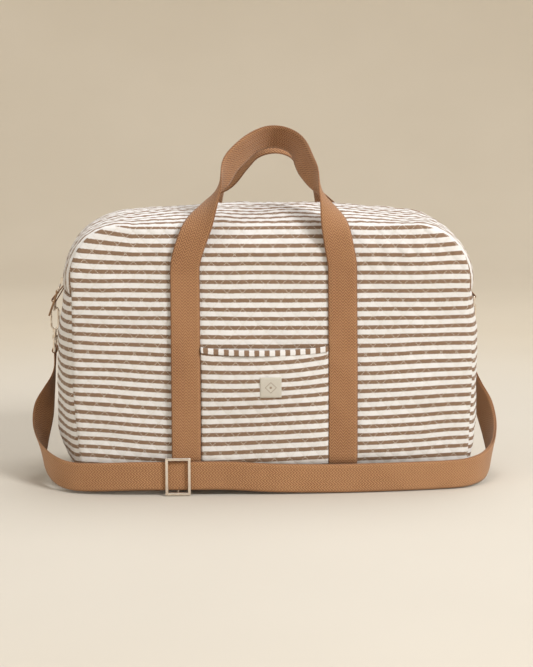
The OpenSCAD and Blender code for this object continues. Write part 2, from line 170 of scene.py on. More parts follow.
def quilt(u, v):
    """Height of the padding between the diagonal stitch lines."""
    height = PUFF
    for line in ((u + v) / DIAMOND, (u - v) / DIAMOND):
        distance = np.abs(line - np.round(line)) * DIAMOND / np.sqrt(2)
        height = height * (1 - np.exp(-((distance / 2.3) ** 2)))
    return height


def seam_dip(edge):
    """How the padded cloth stands off its seam and rolls into it, at a distance from the seam."""
    return 1.3 - 3.2 * np.exp(-edge / 2.6)


def pucker(along, edge, seed):
    """Small gathers that run across a seam and die out away from it."""
    wave = np.sin(along * 2 * np.pi / 15 + 2.2 * ripple(along, 0 * along, seed, 90))
    return 0.55 * wave * np.exp(-edge / 9) * (1 - np.exp(-edge / 2))


def corner_fullness(x, z, turned=False):
    """How far the outline of the stuffed bag stands outside the plain one, and which way.

    A turned piece is made facing front and then turned to the back, so its left comes out on the right.
    """
    left = (x < 0) != turned
    ax = np.abs(x)
    angle = np.arctan2(np.maximum(z - CORNER_Z, 0), np.maximum(ax - CORNER_X, 1e-6))
    in_corner = (z > CORNER_Z) & (ax > CORNER_X)
    reach = np.hypot(ax - CORNER_X, z - CORNER_Z) / TOP_R
    corner = np.where(left, 8.0, 3.5) * np.sin(2 * angle) * np.minimum(reach, 1) ** 2
    low_left = -8.5 * (1 - smooth((z - 20) / 130))
    swell = np.exp(-(((z - 150) / 60) ** 2))
    low_right = -3.5 * (1 - smooth(z / 70)) + 4.0 * swell - 3.0 * smooth((z - 200) / 50)
    low_right = low_right * smooth((CORNER_Z - z) / 30)
    shift = np.where(in_corner, corner, np.where(z <= CORNER_Z, np.where(left, low_left, low_right), 0))
    nx = np.where(in_corner, np.cos(angle), np.where(z <= CORNER_Z, 1.0, 0.0)) * np.where(x < 0, -1.0, 1.0)
    nz = np.where(in_corner, np.sin(angle), np.where(z <= CORNER_Z, 0.0, 1.0))
    return shift, nx, nz


# ---- meshes ----


def make_object(name, points, faces, uvs, material, closed=True):
    """A smooth object from points in millimetres, with a UV map of the cloth in metres."""
    mesh = bpy.data.meshes.new(name)
    mesh.from_pydata((np.asarray(points, float) * MM).tolist(), [], [tuple(int(i) for i in f) for f in faces])
    if uvs is not None:
        layer = mesh.uv_layers.new(name="cloth")
        loop_vertex = np.zeros(len(mesh.loops), np.int32)
        mesh.loops.foreach_get("vertex_index", loop_vertex)
        layer.data.foreach_set("uv", (np.asarray(uvs, float) * MM)[loop_vertex].astype(np.float32).ravel())
    if closed:
        work = bmesh.new()
        work.from_mesh(mesh)
        bmesh.ops.recalc_face_normals(work, faces=work.faces)
        work.to_mesh(mesh)
        work.free()
    mesh.polygons.foreach_set("use_smooth", np.ones(len(mesh.polygons), bool))
    mesh.materials.append(material)
    mesh.update()
    obj = bpy.data.objects.new(name, mesh)
    scene.collection.objects.link(obj)
    return obj


def grid_faces(rows, cols, first=0, flip=False):
    i, j = np.meshgrid(np.arange(rows - 1), np.arange(cols - 1), indexing="ij")
    a = first + i * cols + j
    quads = np.stack([a, a + cols, a + cols + 1, a + 1], -1).reshape(-1, 4)
    return quads[:, ::-1] if flip else quads


def rim_faces(rows, cols, size):
    """Quads that join the borders of an outer grid to those of the inner grid that follows it."""
    loop = [j for j in range(cols)]
    loop += [i * cols + cols - 1 for i in range(1, rows)]
    loop += [(rows - 1) * cols + j for j in range(cols - 2, -1, -1)]
    loop += [i * cols for i in range(rows - 2, 0, -1)]
    return [[a, b, b + size, a + size] for a, b in zip(loop, loop[1:] + loop[:1])]


def thick_sheet(name, outer, inner, uv, material):
    """A closed sheet between two grids of points."""
    rows, cols = outer.shape[:2]
    size = rows * cols
    points = np.concatenate([outer.reshape(-1, 3), inner.reshape(-1, 3)])
    faces = np.concatenate(
        [grid_faces(rows, cols), grid_faces(rows, cols, size, True), np.array(rim_faces(rows, cols, size))]
    )
    uvs = np.concatenate([uv.reshape(-1, 2)] * 2)
    return make_object(name, points, faces, uvs, material)


def spline(points, steps):
    """Catmull-Rom curve through points."""
    p = np.asarray(points, float)
    n = len(p) - 1
    out = []
    for i in range(n):
        a, b, c, d = p[max(0, i - 1)], p[i], p[i + 1], p[min(n, i + 2)]
        for k in range(steps):
            t = k / steps
            out.append(
                (2 * b + (c - a) * t + (2 * a - 5 * b + 4 * c - d) * t**2
                 + (3 * b - a - 3 * c + d) * t**3) / 2
            )
    out.append(p[n])
    return np.array(out)


def unit(v):
    return v / np.maximum(np.linalg.norm(v, axis=-1, keepdims=True), 1e-9)


def path_frames(path, across):
    """Unit width and thickness directions along a path."""
    ahead = np.concatenate([path[1:], path[-1:]])
    behind = np.concatenate([path[:1], path[:-1]])
    tangent = unit(ahead - behind)
    side = unit(across - np.sum(across * tangent, -1, keepdims=True) * tangent)
    return side, np.cross(tangent, side)


def path_length(path):
    steps = np.linalg.norm(np.diff(path, axis=0), axis=1)
    return np.concatenate([[0], np.cumsum(steps)])


def webbing_section(width, thick, count=14):
    """Closed outline across a webbing: flat faces, thinner rounded edges."""
    across = np.linspace(-width / 2, width / 2, count)
    edge = width / 2 - np.abs(across)
    half = thick / 2 * (1 - 0.55 * np.exp(-edge / 0.8))
    top = np.stack([across, half], -1)
    under = np.stack([across[::-1], -half[::-1]], -1)
    return np.concatenate([top, under])


def webbing(name, path, across, width, thick, material, offset=0.0, cup=0.0, start=0.0):
    """A strip of webbing along a path. cup bends its edges towards the thickness direction."""
    side, through = path_frames(path, across)
    section = webbing_section(width, thick)
    length = path_length(path) + start
    rows = []
    uvs = []
    for i in range(len(path)):
        lift = section[:, 1] + offset + cup * (2 * section[:, 0] / width) ** 2
        rows.append(path[i] + section[:, :1] * side[i] + lift[:, None] * through[i])
        uvs.append(np.stack([section[:, 0] + width / 2, np.full(len(section), length[i])], -1))
    n, m = len(path), len(section)
    faces = []
    for i in range(n - 1):
        for k in range(m):
            a, b = i * m + k, i * m + (k + 1) % m
            faces.append([a, b, b + m, a + m])
    faces.append(list(range(m)))
    faces.append([(n - 1) * m + k for k in range(m)])
    return make_object(name, np.concatenate(rows), faces, np.concatenate(uvs), material)


# ---- materials ----


class Shader:
    """A material and short ways to add nodes to it."""

    def __init__(self, name, roughness, metallic=0.0, sheen=0.0):
        self.material = bpy.data.materials.new(name)
        self.material.use_nodes = True
        self.tree = self.material.node_tree
        self.bsdf = self.tree.nodes["Principled BSDF"]
        self.bsdf.inputs["Roughness"].default_value = roughness
        self.bsdf.inputs["Metallic"].default_value = metallic
        self.bsdf.inputs["Sheen Weight"].default_value = sheen
        self.bsdf.inputs["Sheen Roughness"].default_value = 0.5

    def give(self, socket, value):
        if isinstance(value, bpy.types.NodeSocket):
            self.tree.links.new(value, socket)
        else:
            socket.default_value = value

    def math(self, operation, a, b=0.0, c=0.0):
        node = self.tree.nodes.new("ShaderNodeMath")
        node.operation = operation
        for socket, value in zip(node.inputs, (a, b, c)):
            self.give(socket, value)
        return node.outputs[0]

    def cloth(self):
        """The cloth coordinates in millimetres, across and along."""
        uv = self.tree.nodes.new("ShaderNodeUVMap")
        uv.uv_map = "cloth"
        split = self.tree.nodes.new("ShaderNodeSeparateXYZ")
        self.tree.links.new(uv.outputs[0], split.inputs[0])
        across = self.math("MULTIPLY", split.outputs[0], 1000.0)
        along = self.math("MULTIPLY", split.outputs[1], 1000.0)
        return across, along

    def place(self):
        return self.tree.nodes.new("ShaderNodeTexCoord").outputs["Object"]

    def join(self, x, y, z=0.0):
        node = self.tree.nodes.new("ShaderNodeCombineXYZ")
        for socket, value in zip(node.inputs, (x, y, z)):
            self.give(socket, value)
        return node.outputs[0]

    def noise(self, vector, scale, detail=3.0, roughness=0.55):
        node = self.tree.nodes.new("ShaderNodeTexNoise")
        self.give(node.inputs["Vector"], vector)
        node.inputs["Scale"].default_value = scale
        node.inputs["Detail"].default_value = detail
        node.inputs["Roughness"].default_value = roughness
        return node.outputs["Fac"]

    def ramp(self, value, low, high, to_low=0.0, to_high=1.0):
        node = self.tree.nodes.new("ShaderNodeMapRange")
        node.interpolation_type = "SMOOTHSTEP"
        sockets = ("Value", "From Min", "From Max", "To Min", "To Max")
        for socket, v in zip(sockets, (value, low, high, to_low, to_high)):
            self.give(node.inputs[socket], v)
        return node.outputs["Result"]

    def blend(self, factor, a, b, mode="MIX"):
        node = self.tree.nodes.new("ShaderNodeMix")
        node.data_type = "RGBA"
        node.blend_type = mode
        self.give(node.inputs[0], factor)
        self.give(node.inputs[6], a)
        self.give(node.inputs[7], b)
        return node.outputs[2]

    def bump(self, height, distance, strength=1.0):
        node = self.tree.nodes.new("ShaderNodeBump")
        node.inputs["Strength"].default_value = strength
        node.inputs["Distance"].default_value = distance
        self.give(node.inputs["Height"], height)
        self.tree.links.new(node.outputs[0], self.bsdf.inputs["Normal"])

    def colour(self, value):
        self.give(self.bsdf.inputs["Base Color"], value)

    def roughness(self, value):
        self.give(self.bsdf.inputs["Roughness"], value)


STRIPE = 11.8
STRIPE_AT = 2.9
CREAM = (0.83, 0.825, 0.835, 1)
CREAM_SHADE = (0.73, 0.72, 0.715, 1)
BROWN = (0.190, 0.115, 0.070, 1)
BROWN_LIGHT = (0.310, 0.205, 0.135, 1)
THREAD = (0.72, 0.67, 0.60, 1)


def line_distance(shader, value, period):
    """Distance in millimetres from the nearest of the lines that lie period apart."""
    turn = shader.math("DIVIDE", value, period)
    away = shader.math("ABSOLUTE", shader.math("SUBTRACT", turn, shader.math("ROUND", turn)))
    return shader.math("MULTIPLY", away, period)


def striped_quilt(name, stripe=STRIPE, stripe_at=STRIPE_AT, stitched=True, brown_half=2.65):
    """Slubby cotton with taupe stripes, quilted with cream thread along diagonal lines."""
    s = Shader(name, 0.92, sheen=0.12)
    u, v = s.cloth()
    fine = s.noise(s.join(s.math("MULTIPLY", u, 0.55), s.math("MULTIPLY", v, 1.0)), 0.9, 3.0, 0.7)
    slow = s.noise(s.join(s.math("MULTIPLY", u, 0.012), s.math("MULTIPLY", v, 0.02)), 1.0, 2.0)
    wander = s.math("ADD", s.math("MULTIPLY", s.math("SUBTRACT", fine, 0.5), 2.3),
                    s.math("MULTIPLY", s.math("SUBTRACT", slow, 0.5), 2.2))
    distance = line_distance(s, s.math("ADD", s.math("SUBTRACT", v, stripe_at), wander), stripe)
    brown = s.ramp(distance, brown_half - 0.35, brown_half + 0.35, 1.0, 0.0)
    heather = s.noise(s.join(s.math("MULTIPLY", u, 0.5), s.math("MULTIPLY", v, 1.6)), 1.1, 4.0, 0.75)
    warp = s.noise(s.join(s.math("MULTIPLY", u, 1.5), s.math("MULTIPLY", v, 0.35)), 1.0, 2.0)
    fleck = s.ramp(s.math("ADD", s.math("MULTIPLY", heather, 0.6), s.math("MULTIPLY", warp, 0.4)), 0.38, 0.66)
    soil = s.noise(s.place(), 9.0, 4.0)
    uneven = s.math("ADD", s.math("MULTIPLY", heather, 0.5), s.math("MULTIPLY", soil, 0.5))
    cream = s.blend(s.ramp(uneven, 0.35, 0.7), CREAM_SHADE, CREAM)
    taupe = s.blend(fleck, BROWN, BROWN_LIGHT)
    colour = s.blend(brown, cream, taupe)
    weave_u = s.math("ABSOLUTE", s.math("SINE", s.math("MULTIPLY", u, 4.2)))
    weave_v = s.math("ABSOLUTE", s.math("SINE", s.math("MULTIPLY", v, 4.2)))
    weave = s.math("MULTIPLY", s.math("MULTIPLY", weave_u, weave_v), 0.10)
    height = s.math("ADD", weave, s.math("MULTIPLY", heather, 0.35))
    if stitched:
        stitches = 0.0
        for sign in ("ADD", "SUBTRACT"):
            other = "SUBTRACT" if sign == "ADD" else "ADD"
            across = s.math("MULTIPLY", line_distance(s, s.math(sign, u, v), DIAMOND), 0.7071)
            along = line_distance(s, s.math(other, u, v), DIAMOND / 5)
            thread = s.math("MULTIPLY", s.ramp(across, 0.22, 0.42, 1.0, 0.0), s.ramp(along, 0.45, 0.75))
            groove = s.ramp(across, 0.0, 1.6)
            height = s.math("ADD", height, s.math("MULTIPLY", groove, 0.22))
            height = s.math("ADD", height, s.math("MULTIPLY", thread, 0.35))
            stitches = s.math("MAXIMUM", stitches, thread)
        colour = s.blend(s.math("MULTIPLY", stitches, 0.8), colour, THREAD)
    s.colour(colour)
    s.bump(height, 0.0009, 0.9)
    return s.material


def webbing_material(name, base, light, dark, stitch_edge=2.6):
    """Herringbone webbing with selvedges and, where stitch_edge is set, a stitched line near both edges."""
    s = Shader(name, 0.85, sheen=0.15)
    u, v = s.cloth()
    zigzag = line_distance(s, u, 7.6)
    uneven = s.noise(s.join(s.math("MULTIPLY", u, 0.3), s.math("MULTIPLY", v, 0.3)), 1.0, 2.0)
    slant = s.math("ADD", s.math("MULTIPLY", zigzag, 1.3), s.math("MULTIPLY", uneven, 1.6))
    thread = line_distance(s, s.math("ADD", v, slant), 3.9)
    rib = s.ramp(thread, 0.45, 1.45)
    fibres = s.noise(s.join(s.math("MULTIPLY", u, 1.6), s.math("MULTIPLY", v, 0.7)), 1.3, 4.0, 0.7)
    slow = s.noise(s.place(), 14.0, 3.0)
    colour = s.blend(s.ramp(fibres, 0.34, 0.62), dark, base)
    colour = s.blend(rib, s.blend(0.75, colour, dark), s.blend(s.ramp(fibres, 0.32, 0.6), base, light))
    colour = s.blend(s.ramp(slow, 0.35, 0.7, 0.0, 0.25), colour, light)
    edge = s.math("MINIMUM", u, s.math("SUBTRACT", WEBBING_W, u))
    selvedge = s.ramp(edge, 0.7, 1.5, 0.45, 0.0)
    colour = s.blend(selvedge, colour, dark)
    height = s.math("ADD", s.math("MULTIPLY", rib, 0.55), s.math("MULTIPLY", fibres, 0.35))
    if stitch_edge:
        near = s.math("ABSOLUTE", s.math("SUBTRACT", edge, stitch_edge))
        dash = line_distance(s, v, 3.4)
        thread = s.math("MULTIPLY", s.ramp(near, 0.25, 0.5, 1.0, 0.0), s.ramp(dash, 0.35, 0.6))
        colour = s.blend(s.math("MULTIPLY", thread, 0.6), colour, light)
        height = s.math("SUBTRACT", height, s.math("MULTIPLY", s.ramp(near, 0.0, 0.9, 1.0, 0.0), 0.5))
    s.colour(colour)
    s.bump(height, 0.0006, 0.9)
    return s.material


def plain_cloth(name, base, dark, period=0.9):
    s = Shader(name, 0.9, sheen=0.1)
    u, v = s.cloth()
    rib = s.ramp(line_distance(s, v, period), 0.0, period / 2)
    fibres = s.noise(s.join(u, v), 1.2, 4.0, 0.7)
    slow = s.noise(s.place(), 10.0, 3.0)
    uneven = s.math("ADD", s.math("MULTIPLY", fibres, 0.6), s.math("MULTIPLY", slow, 0.4))
    colour = s.blend(s.ramp(uneven, 0.35, 0.65), dark, base)
    s.colour(colour)
    s.bump(s.math("ADD", s.math("MULTIPLY", rib, 0.5), s.math("MULTIPLY", fibres, 0.5)), 0.0004, 0.9)
    return s.material


def metal(name, base, tarnish):
    s = Shader(name, 0.3, metallic=1.0)
    cloudy = s.noise(s.place(), 160.0, 4.0)
    scuffs = s.noise(s.place(), 900.0, 2.0)
    s.colour(s.blend(s.ramp(cloudy, 0.35, 0.75, 0.0, 0.6), base, tarnish))
    s.roughness(s.ramp(scuffs, 0.3, 0.8, 0.16, 0.30))
    s.bump(scuffs, 0.00003, 0.4)
    return s.material


def leather(name, base, dark):
    s = Shader(name, 0.6)
    grain = s.noise(s.place(), 700.0, 4.0, 0.6)
    patina = s.noise(s.place(), 60.0, 3.0)
    uneven = s.math("ADD", s.math("MULTIPLY", grain, 0.4), s.math("MULTIPLY", patina, 0.6))
    s.colour(s.blend(s.ramp(uneven, 0.35, 0.65), dark, base))
    s.roughness(s.ramp(grain, 0.3, 0.7, 0.5, 0.72))
    s.bump(grain, 0.0003, 0.8)
    return s.material


def label_material(name):
    """Cream woven label with a plain outlined diamond round a dot."""
    s = Shader(name, 0.88, sheen=0.1)
    u, v = s.cloth()
    diamond = s.math("ADD", s.math("ABSOLUTE", u), s.math("ABSOLUTE", v))
    ring = s.math("ABSOLUTE", s.math("SUBTRACT", diamond, 7.2))
    dot = s.math("SQRT", s.math("ADD", s.math("MULTIPLY", u, u), s.math("MULTIPLY", v, v)))
    mark = s.math("MAXIMUM", s.ramp(ring, 0.35, 0.6, 1.0, 0.0), s.ramp(dot, 1.5, 1.8, 1.0, 0.0))
    fibres = s.noise(s.join(s.math("MULTIPLY", u, 2.0), v), 1.4, 3.0, 0.7)
    ground = s.blend(s.ramp(fibres, 0.3, 0.7), (0.62, 0.58, 0.50, 1), (0.76, 0.73, 0.66, 1))
    s.colour(s.blend(s.math("MULTIPLY", mark, 0.8), ground, (0.30, 0.20, 0.13, 1)))
    rows = s.ramp(line_distance(s, v, 0.7), 0.0, 0.35)
    s.bump(s.math("ADD", rows, s.math("MULTIPLY", mark, 0.8)), 0.0003, 0.9)
    return s.material


quilt_cloth = striped_quilt("striped_quilt")
binding_cloth = striped_quilt("striped_binding", stripe=13.2, stripe_at=4.0, stitched=False, brown_half=3.2)
# Handles, ring tabs and strap are one webbing. The handle copy is coloured darker (painted shade) and the
# strap copy lighter (painted light), to suit how each is lit.
shaded_handle_cloth = webbing_material(
    "handle_webbing", (0.325, 0.150, 0.062, 1), (0.47, 0.250, 0.120, 1), (0.165, 0.064, 0.022, 1)
)
lit_strap_cloth = webbing_material(
    "strap_webbing", (0.375, 0.178, 0.073, 1), (0.53, 0.290, 0.140, 1), (0.21, 0.086, 0.032, 1), 0
)
tape_cloth = plain_cloth("zip_tape", (0.62, 0.52, 0.40, 1), (0.50, 0.41, 0.31, 1))
coil_plastic = plain_cloth("zip_coil", (0.58, 0.49, 0.38, 1), (0.46, 0.38, 0.29, 1))
lining_cloth = plain_cloth("lining", (0.72, 0.68, 0.60, 1), (0.62, 0.58, 0.50, 1))
board_plastic = plain_cloth("board", (0.07, 0.065, 0.06, 1), (0.05, 0.045, 0.04, 1), 2.0)
tan_leather = leather("leather_tab", (0.40, 0.24, 0.13, 1), (0.25, 0.14, 0.075, 1))
nickel = metal("warm_nickel", (0.88, 0.81, 0.73, 1), (0.70, 0.61, 0.51, 1))
label_cloth = label_material("woven_label")

# ---- front and back panels ----


def cloth_v(x, z):
    """Height of the stripes in the cloth: closer together near the base, drawn up near the side seams."""
    low = np.maximum(110 - z, 0)
    high = np.maximum(z - 290, 0)
    drawn_up = smooth((np.abs(x) - 110) / 150) * smooth(z / 60) * smooth((250 - z) / 140)
    return z + 0.008 * x - 0.1 * low**2 / 110 + 0.03 * high - np.where(x < 0, 7.0, 4.0) * drawn_up


def outline_distance(x, z):
    """Distance inwards from the seam line of a face panel."""
    ax = np.abs(x)
    side = half_w(z) - ax
    top = SEAM_TOP - z
    upper = TOP_R - np.hypot(np.maximum(ax - CORNER_X, 0), np.maximum(z - CORNER_Z, 0))
    lower = BASE_R - np.hypot(np.maximum(ax - BASE_X, 0), np.maximum(BASE_R - z, 0))
    plain = np.minimum(np.minimum(side, top), z)
    corner = (ax > CORNER_X) & (z > CORNER_Z)
    base = (ax > BASE_X) & (z < BASE_R)
    return np.maximum(np.where(corner, upper, np.where(base, lower, plain)), 0)


def panel_rows():
    low = BASE_R * (1 - np.cos(np.linspace(0, np.pi / 2, 15)))
    middle = np.arange(BASE_R + CELL, CORNER_Z - 1, CELL)
    high = CORNER_Z + TOP_R * np.sin(np.linspace(0, np.pi / 2, 42))
    return np.concatenate([low, middle, high])


def under_legs(x, z):
    """1 where the sewn handle legs press the cloth flat, falling to 0 beside them."""
    middle = np.abs(np.abs(x - HANDLE_X) - LEG_X)
    return np.exp(-((middle / 25) ** 6)) * smooth((LEG_TOP + 12 - z) / 20)


def panel_surface(x, z, seed, turned):
    """Outer surface of a face panel as x, y, z, with its wrinkles and quilting."""
    edge = outline_distance(x, z)
    v = cloth_v(x, z)
    loose = 1 - 0.8 * under_legs(x, z)
    away = (1 - np.exp(-edge / 14)) * loose
    out = belly(x, z) + seam_dip(edge) + quilt(x, v) * (1 - np.exp(-edge / 3)) * loose
    out += 1.3 * away * ripple(x, z, seed, 150) + 0.6 * away * ripple(x, z, seed + 1, 48)
    out += pucker(x + z, edge, seed + 2) * loose
    folds = np.exp(-(((x - 165) / 60) ** 2) - ((z - 315) / 32) ** 2)
    out += 1.1 * folds * np.sin((x + 0.35 * z) * 2 * np.pi / 23) * away
    base_fold = np.exp(-(((z - 26) / 16) ** 2)) * away
    out += 1.0 * base_fold * ripple(x, z, seed + 3, 90, 2.0)
    shift, nx, nz = corner_fullness(x, z, turned)
    near = np.exp(-edge / 45)
    tuck = 1.6 * np.exp(-edge / 2.6)
    px = x + nx * shift * near - np.sign(x) * tuck * np.abs(nx) * (edge < 12)
    pz = z + nz * shift * near + 0.8 * near * ripple(x, z, seed + 5, 110) * smooth((z - 60) / 60)
    return np.stack([px, -(half_d(z) + out), np.maximum(pz, 0.3)], -1), v


def face_panel(name, seed, turned):
    z = panel_rows()
    t = np.linspace(-1, 1, 203)
    zz, tt = np.meshgrid(z, t, indexing="ij")
    xx = half_w(zz) * tt
    outer, v = panel_surface(xx, zz, seed, turned)
    inner = outer + np.array([0, QUILT_T, 0])
    uv = np.stack([xx, v], -1)
    if turned:
        spin = np.array([-1, -1, 1])
        outer, inner = outer * spin, inner * spin
        uv = uv + np.array([0, 4.3])
    obj = thick_sheet(name, outer, inner, uv, quilt_cloth)
    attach(obj, "bag")
    return obj


front_panel = face_panel("quilted_front_panel", 11, False)
back_panel = face_panel("quilted_back_panel", 29, True)
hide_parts("front_panel")
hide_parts("back_panel")

# ---- side panels, gusset and base ----


def stations(from_side, to_x, step):
    """Points of the right half outline, from a height on the side or base up to x on the top."""
    rows = []
    if from_side < GUSSET_END - 1:
        for a in np.radians(np.linspace(-90, 0, 15))[:-1]:
            z = BASE_R * (1 + np.sin(a))
            rows.append((BASE_X + BASE_R * np.cos(a), z, np.cos(a), np.sin(a), float(side_out(z))))
        for z in np.linspace(BASE_R, GUSSET_END - 0.2, int((GUSSET_END - BASE_R) / step)):
            rows.append((SEAM_HALF_W, z, 1.0, 0.0, float(side_out(z))))
        return np.array(rows)
    for z in np.linspace(from_side, CORNER_Z, 4)[:-1]:
        rows.append((SEAM_HALF_W, z, 1.0, 0.0, float(side_out(z))))
    for a in np.radians(np.linspace(0, 90, int(TOP_R * 1.6 / step))):
        nx, nz = np.cos(a), np.sin(a)
        rows.append((CORNER_X + TOP_R * nx, CORNER_Z + TOP_R * nz, nx, nz, CORNER_BULGE))
    for x in np.linspace(CORNER_X, to_x, int((CORNER_X - to_x) / step))[1:]:
        rows.append((x, SEAM_TOP, 0.0, 1.0, mix(TOP_BULGE, CORNER_BULGE, (x / CORNER_X) ** 2)))
    return np.array(rows)


def round_surface(line, y, extra_off, turned=False):
    """Points of the shell round the outline, at depths y, standing extra_off outside it."""
    depth = half_d(line[:, 1])[:, None]
    reach = line[:, 4][:, None] * (1 - (y / depth) ** 2) + extra_off
    shift, nx, nz = corner_fullness(line[:, 0], line[:, 1], turned)
    at_seam = (y / depth) ** 2
    x = line[:, 0][:, None] + line[:, 2][:, None] * reach + (nx * shift)[:, None] * at_seam
    z = line[:, 1][:, None] + line[:, 3][:, None] * reach + (nz * shift)[:, None] * at_seam
    return np.stack([x, y, z], -1)


def line_length(line):
    return np.concatenate([[0], np.cumsum(np.hypot(np.diff(line[:, 0]), np.diff(line[:, 1])))])


def side_panel(name, seed, left):
    line = stations(0, 0, CELL)
    s = line_length(line)
    if left:
        line = line * np.array([-1, 1, -1, 1, 1])
    cols = 91
    depth = half_d(line[:, 1])[:, None] - 1.6
    y = depth * np.linspace(-1, 1, cols)[None, :]
    ss = np.broadcast_to(s[:, None], y.shape)
    top_edge = s[-1] - ss
    seam_edge = depth - np.abs(y)
    end_edge = np.minimum(top_edge, ss + 2)
    edge = np.minimum(seam_edge, end_edge)
    v = cloth_v(0 * y, np.broadcast_to(line[:, 1][:, None], y.shape)) + (5.2 if left else 1.6)
    away = 1 - np.exp(-edge / 14)
    off = seam_dip(edge) + quilt(y, v) * (1 - np.exp(-edge / 3))
    off += 1.4 * away * ripple(y, ss, seed, 120) + 0.6 * away * ripple(y, ss, seed + 1, 45)
    off += pucker(ss, seam_edge, seed + 2)
    off -= 2.0 * np.exp(-(((y - 5) / 45) ** 2) - ((line[:, 1][:, None] - 203) / 42) ** 2)
    outer = round_surface(line, y, off)
    inner = round_surface(line, y, off - QUILT_T)
    outer[..., 2] = np.maximum(outer[..., 2], 0.3)
    inner[..., 2] = np.maximum(inner[..., 2], 0.9)
    obj = thick_sheet(name, outer, inner, np.stack([y, v], -1), quilt_cloth)
    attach(obj, "bag")
    return obj


left_side = side_panel("quilted_left_side", 41, True)
right_side = side_panel("quilted_right_side", 53, False)
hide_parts("left_side_panel")
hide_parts("right_side_panel")


def over_the_top(end, step):
    """The whole outline from the right end of the zip gusset to its left end."""
    right = stations(end, 0.0, step)
    left = right[:-1][::-1] * np.array([-1, 1, -1, 1, 1])
    return np.concatenate([right, left])


def gusset(name, seed, turned):
    line = over_the_top(GUSSET_END + 0.2, CELL)
    s = line_length(line)
    depth = half_d(line[:, 1])[:, None] - 1.6
    t = np.linspace(0, 1, 40)[None, :]
    y = -mix(depth, ZIP_HALF, t)
    ss = np.broadcast_to(s[:, None], y.shape)
    seam_edge = depth + y
    zip_edge = -y - ZIP_HALF
    end_edge = np.minimum(ss, s[-1] - ss)
    edge = np.minimum(seam_edge, end_edge)
    away = (1 - np.exp(-edge / 12)) * (1 - np.exp(-zip_edge / 8))
    v = y + 2.9 + 3.0
    off = seam_dip(edge) - 2.4 * np.exp(-zip_edge / 1.6) + quilt(ss, v) * away
    off += 1.5 * away * ripple(ss, y, seed, 110) + 0.7 * away * ripple(ss, y, seed + 1, 40)
    off += pucker(ss, seam_edge, seed + 2) + 0.7 * pucker(ss, zip_edge, seed + 4)
    outer = round_surface(line, y, off, turned)
    inner = round_surface(line, y, np.minimum(off - 2.0, -1.2), turned)
    if turned:
        outer, inner = outer * np.array([-1, -1, 1]), inner * np.array([-1, -1, 1])
    obj = thick_sheet(name, outer, inner, np.stack([ss, v], -1), quilt_cloth)
    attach(obj, "bag")
    return obj


gusset_front = gusset("quilted_gusset_front", 61, False)
gusset_back = gusset("quilted_gusset_back", 71, True)
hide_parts("zip_gusset_front")
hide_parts("zip_gusset_back")


def bottom():
    x = np.linspace(-BASE_X, BASE_X, 181)
    y = np.linspace(-BASE_HALF_D + 1.6, BASE_HALF_D - 1.6, 95)
    yy, xx = np.meshgrid(y, x, indexing="ij")
    edge = np.minimum(BASE_X - np.abs(xx), BASE_HALF_D - 1.6 - np.abs(yy))
    lift = 0.4 + 1.1 * (PUFF - quilt(xx, yy)) + 1.6 * np.exp(-edge / 3)
    outer = np.stack([xx, yy, lift], -1)
    inner = np.stack([xx, yy, lift + QUILT_T], -1)
    obj = thick_sheet("quilted_base", outer, inner, np.stack([xx, yy], -1), quilt_cloth)
    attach(obj, "bag")
    return obj


base = bottom()
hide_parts("bottom_panel")

# ---- slip pocket ----

POCKET_X0, POCKET_X1 = pocket_low[0], pocket_high[0]
MOUTH_Z = binding_high[2]
POCKET_T = 2.4


def pocket_gap(x, z):
    """How far the pocket hangs off the front: flat at its seams, loose and slightly open at the mouth."""
    u = clamp01((x - POCKET_X0) / (POCKET_X1 - POCKET_X0))
    loose = smooth(z / MOUTH_Z) ** 2
    return 1.9 + 6.0 * loose * 4 * u * (1 - u)


def pocket_points(x, z, off):
    edge = np.minimum(x - POCKET_X0, POCKET_X1 - x)
    u = clamp01((x - POCKET_X0) / (POCKET_X1 - POCKET_X0))
    sag = 3.2 * 4 * u * (1 - u) * smooth((z - 90) / 90)
    curl = 2.4 * np.exp(-(x - POCKET_X0) / 7) * smooth((z - 160) / 25)
    y = -(face_y(x, z) + pocket_gap(x, z) + off + curl)
    return np.stack([x, y, z - sag + 1.5 * np.exp(-edge / 6) * smooth((z - 160) / 25)], -1)


def pocket():
    x = np.linspace(POCKET_X0, POCKET_X1, 67)
    z = np.linspace(pocket_low[2], binding_low[2] + 1, 72)
    zz, xx = np.meshgrid(z, x, indexing="ij")
    v = zz - 0.033 * xx - 9.6 + 2.9
    edge = np.minimum(xx - POCKET_X0, POCKET_X1 - xx)
    away = 1 - np.exp(-edge / 10)
    off = 2.6 + quilt(xx, v) * away * smooth((zz - 8) / 10) + 0.9 * away * ripple(xx, zz, 83, 90)
    off += 0.4 * away * ripple(xx, zz, 84, 34) - 1.4 * np.exp(-edge / 3)
    outer, inner = pocket_points(xx, zz, off), pocket_points(xx, zz, off - POCKET_T)
    obj = thick_sheet("quilted_pocket", outer, inner, np.stack([xx, v], -1), quilt_cloth)
    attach(obj, "bag")
    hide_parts("front_pocket")


